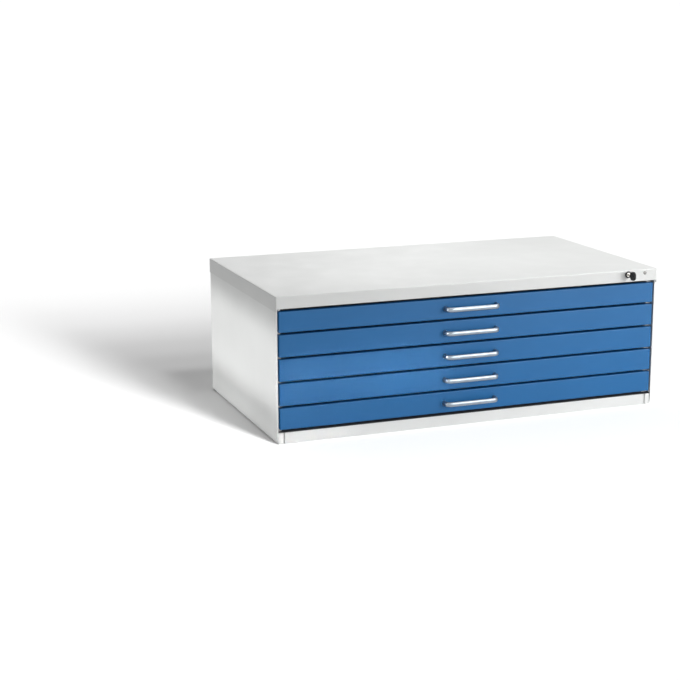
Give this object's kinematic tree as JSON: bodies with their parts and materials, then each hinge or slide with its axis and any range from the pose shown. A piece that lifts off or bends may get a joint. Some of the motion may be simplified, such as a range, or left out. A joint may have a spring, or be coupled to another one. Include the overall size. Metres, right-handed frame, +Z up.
{
  "type": "flat file cabinet",
  "caption": "Low, wide sheet steel cabinet in light grey with shallow blue drawers for large sheets, a bow handle on each drawer and a cylinder lock in the band above them.",
  "frame": {"origin": "middle of the footprint, handles and key included, at floor level", "axes": "+X along the width, to the right seen from the front; +Y from the drawer fronts to the back; +Z up"},
  "size_m": [1.2, 0.696, 0.42],
  "materials": {
    "light_grey_paint": "satin light grey powder coat, almost white",
    "cover_grey": "satin light grey powder coat on the top cover",
    "blue_paint": "satin gentian blue powder coat",
    "zinc_plate": "bright zinc plate",
    "satin_silver": "satin anodised aluminium bar",
    "nickel": "dull nickel plate on the lock",
    "black_plastic": "matt black moulded key head"
  },
  "bodies": {
    "carcass": {"top_cover": "cover_grey", "side_panel_left": "light_grey_paint", "side_panel_right": "light_grey_paint", "back_panel": "light_grey_paint", "bottom_panel": "light_grey_paint", "base_rail_front": "light_grey_paint", "base_rail_left": "light_grey_paint", "base_rail_right": "light_grey_paint", "inner_side_left": "light_grey_paint", "inner_side_right": "light_grey_paint", "top_rail": "light_grey_paint", "lock_housing": "nickel", "outer_slide_1_left": "zinc_plate", "outer_slide_1_right": "zinc_plate", "outer_slide_2_left": "zinc_plate", "outer_slide_2_right": "zinc_plate", "outer_slide_3_left": "zinc_plate", "outer_slide_3_right": "zinc_plate", "outer_slide_4_left": "zinc_plate", "outer_slide_4_right": "zinc_plate", "outer_slide_5_left": "zinc_plate", "outer_slide_5_right": "zinc_plate"},
    "drawer_1": {"tray_1": "light_grey_paint", "front_1": "blue_paint", "handle_1": "satin_silver", "inner_slide_1_left": "zinc_plate", "inner_slide_1_right": "zinc_plate"},
    "slides_1": {"middle_slide_1_left": "zinc_plate", "middle_slide_1_right": "zinc_plate"},
    "drawer_2": {"tray_2": "light_grey_paint", "front_2": "blue_paint", "handle_2": "satin_silver", "inner_slide_2_left": "zinc_plate", "inner_slide_2_right": "zinc_plate"},
    "slides_2": {"middle_slide_2_left": "zinc_plate", "middle_slide_2_right": "zinc_plate"},
    "drawer_3": {"tray_3": "light_grey_paint", "front_3": "blue_paint", "handle_3": "satin_silver", "inner_slide_3_left": "zinc_plate", "inner_slide_3_right": "zinc_plate"},
    "slides_3": {"middle_slide_3_left": "zinc_plate", "middle_slide_3_right": "zinc_plate"},
    "drawer_4": {"tray_4": "light_grey_paint", "front_4": "blue_paint", "handle_4": "satin_silver", "inner_slide_4_left": "zinc_plate", "inner_slide_4_right": "zinc_plate"},
    "slides_4": {"middle_slide_4_left": "zinc_plate", "middle_slide_4_right": "zinc_plate"},
    "drawer_5": {"tray_5": "light_grey_paint", "front_5": "blue_paint", "handle_5": "satin_silver", "inner_slide_5_left": "zinc_plate", "inner_slide_5_right": "zinc_plate"},
    "slides_5": {"middle_slide_5_left": "zinc_plate", "middle_slide_5_right": "zinc_plate"},
    "lock": {"lock_core": "nickel", "key": "black_plastic"},
    "locking_bar": {"locking_bar": "zinc_plate"}
  },
  "joints": [
    {"name": "drawer_1_slide", "type": "slide", "parent": "carcass", "child": "drawer_1", "axis": [0, -1, 0], "range_m": [0, 0.52]},
    {"name": "runners_1_travel", "type": "slide", "parent": "carcass", "child": "slides_1", "axis": [0, -1, 0], "range_m": [0, 0.26]},
    {"name": "drawer_2_slide", "type": "slide", "parent": "carcass", "child": "drawer_2", "axis": [0, -1, 0], "range_m": [0, 0.52]},
    {"name": "runners_2_travel", "type": "slide", "parent": "carcass", "child": "slides_2", "axis": [0, -1, 0], "range_m": [0, 0.26]},
    {"name": "drawer_3_slide", "type": "slide", "parent": "carcass", "child": "drawer_3", "axis": [0, -1, 0], "range_m": [0, 0.52]},
    {"name": "runners_3_travel", "type": "slide", "parent": "carcass", "child": "slides_3", "axis": [0, -1, 0], "range_m": [0, 0.26]},
    {"name": "drawer_4_slide", "type": "slide", "parent": "carcass", "child": "drawer_4", "axis": [0, -1, 0], "range_m": [0, 0.52]},
    {"name": "runners_4_travel", "type": "slide", "parent": "carcass", "child": "slides_4", "axis": [0, -1, 0], "range_m": [0, 0.26]},
    {"name": "drawer_5_slide", "type": "slide", "parent": "carcass", "child": "drawer_5", "axis": [0, -1, 0], "range_m": [0, 0.52]},
    {"name": "runners_5_travel", "type": "slide", "parent": "carcass", "child": "slides_5", "axis": [0, -1, 0], "range_m": [0, 0.26]},
    {"name": "lock_turn", "type": "hinge", "parent": "carcass", "child": "lock", "pos_m": [0.5, -0.306, 0.407], "axis": [0, 1, 0], "range_deg": [0, 90]},
    {"name": "bar_lift", "type": "slide", "parent": "carcass", "child": "locking_bar", "axis": [0, 0, 1], "range_m": [0, 0.0092]}
  ],
  "couplings": [
    {"joint": "runners_1_travel", "follows": "drawer_1_slide", "ratio": 0.5},
    {"joint": "runners_2_travel", "follows": "drawer_2_slide", "ratio": 0.5},
    {"joint": "runners_3_travel", "follows": "drawer_3_slide", "ratio": 0.5},
    {"joint": "runners_4_travel", "follows": "drawer_4_slide", "ratio": 0.5},
    {"joint": "runners_5_travel", "follows": "drawer_5_slide", "ratio": 0.5},
    {"joint": "bar_lift", "follows": "lock_turn", "m_per_rad": 0.0054019}
  ]
}
